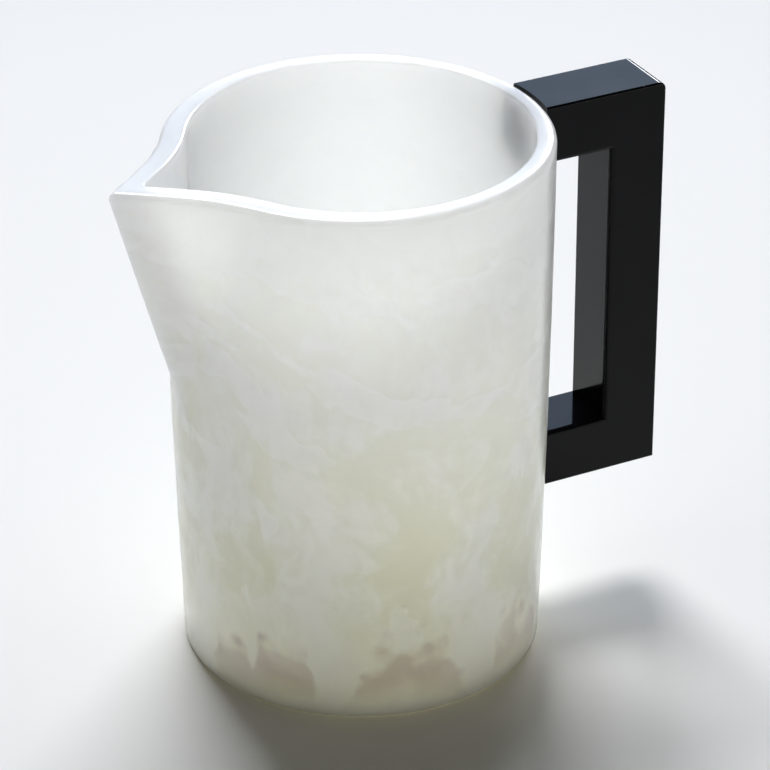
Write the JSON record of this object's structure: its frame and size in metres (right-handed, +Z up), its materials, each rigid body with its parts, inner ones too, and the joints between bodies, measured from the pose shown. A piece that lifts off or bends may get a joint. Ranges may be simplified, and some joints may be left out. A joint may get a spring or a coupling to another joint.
{
  "type": "pitcher",
  "caption": "Tapered round pitcher of marbled translucent resin with a pointed pouring lip and a square C-shaped black bar handle.",
  "frame": {"origin": "centre of the foot on the vessel's axis", "axes": "+Z up along the vessel's axis, +X towards the handle, the lip towards -X and turned 2.1 degrees towards -Y"},
  "size_m": [0.1939, 0.126, 0.182],
  "materials": {
    "marbled_resin": "satin, milky and translucent, marbled",
    "black_resin": "polished",
    "dowel_steel": "ground",
    "clear_adhesive": "cured adhesive"
  },
  "bodies": {
    "root": {"vessel": "marbled_resin", "handle": "black_resin", "upper_dowel": "dowel_steel", "lower_dowel": "dowel_steel", "upper_bond": "clear_adhesive", "lower_bond": "clear_adhesive"}
  },
  "joints": []
}
